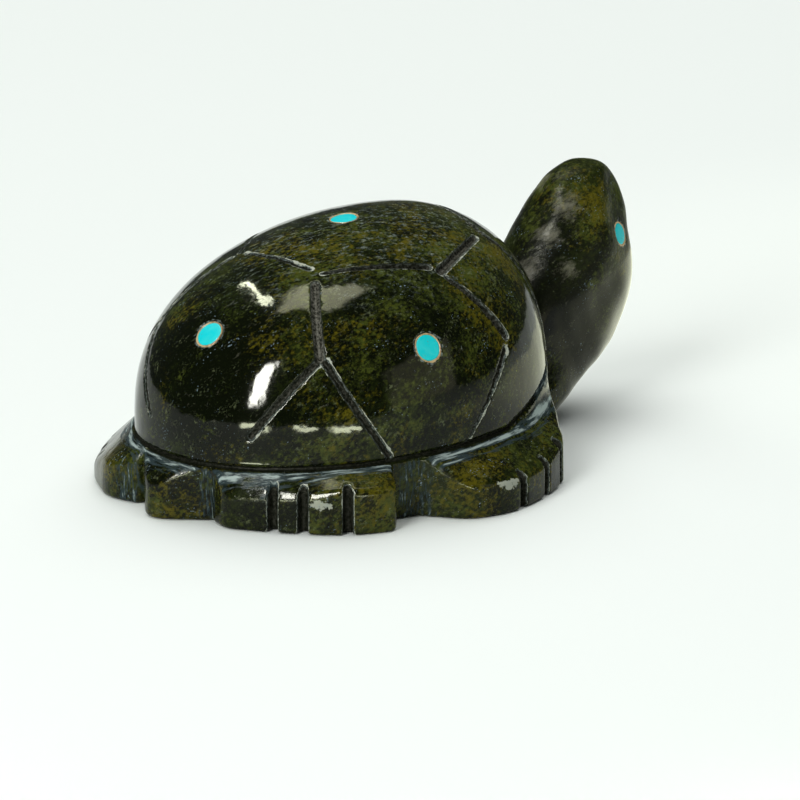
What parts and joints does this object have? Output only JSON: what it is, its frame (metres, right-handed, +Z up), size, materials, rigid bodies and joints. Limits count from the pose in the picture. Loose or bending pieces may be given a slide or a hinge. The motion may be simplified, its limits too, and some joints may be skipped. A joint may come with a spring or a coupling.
{
  "type": "carved stone turtle",
  "caption": "Small turtle carved from one block of polished dark green stone, with a domed grooved shell, raised head and round turquoise inlays.",
  "frame": {"origin": "middle of the footprint, on the ground that the flat underside rests on", "axes": "+X from the tail towards the head, +Y towards the turtle's left, +Z up"},
  "size_m": [0.0548, 0.0378, 0.0217],
  "materials": {
    "serpentine": "polished",
    "turquoise": "satin"
  },
  "bodies": {
    "root": {"stone_turtle": "serpentine", "inlay_crown": "turquoise", "inlay_rear": "turquoise", "inlay_right": "turquoise", "inlay_left": "turquoise", "eye_right": "turquoise", "eye_left": "turquoise"}
  },
  "joints": []
}
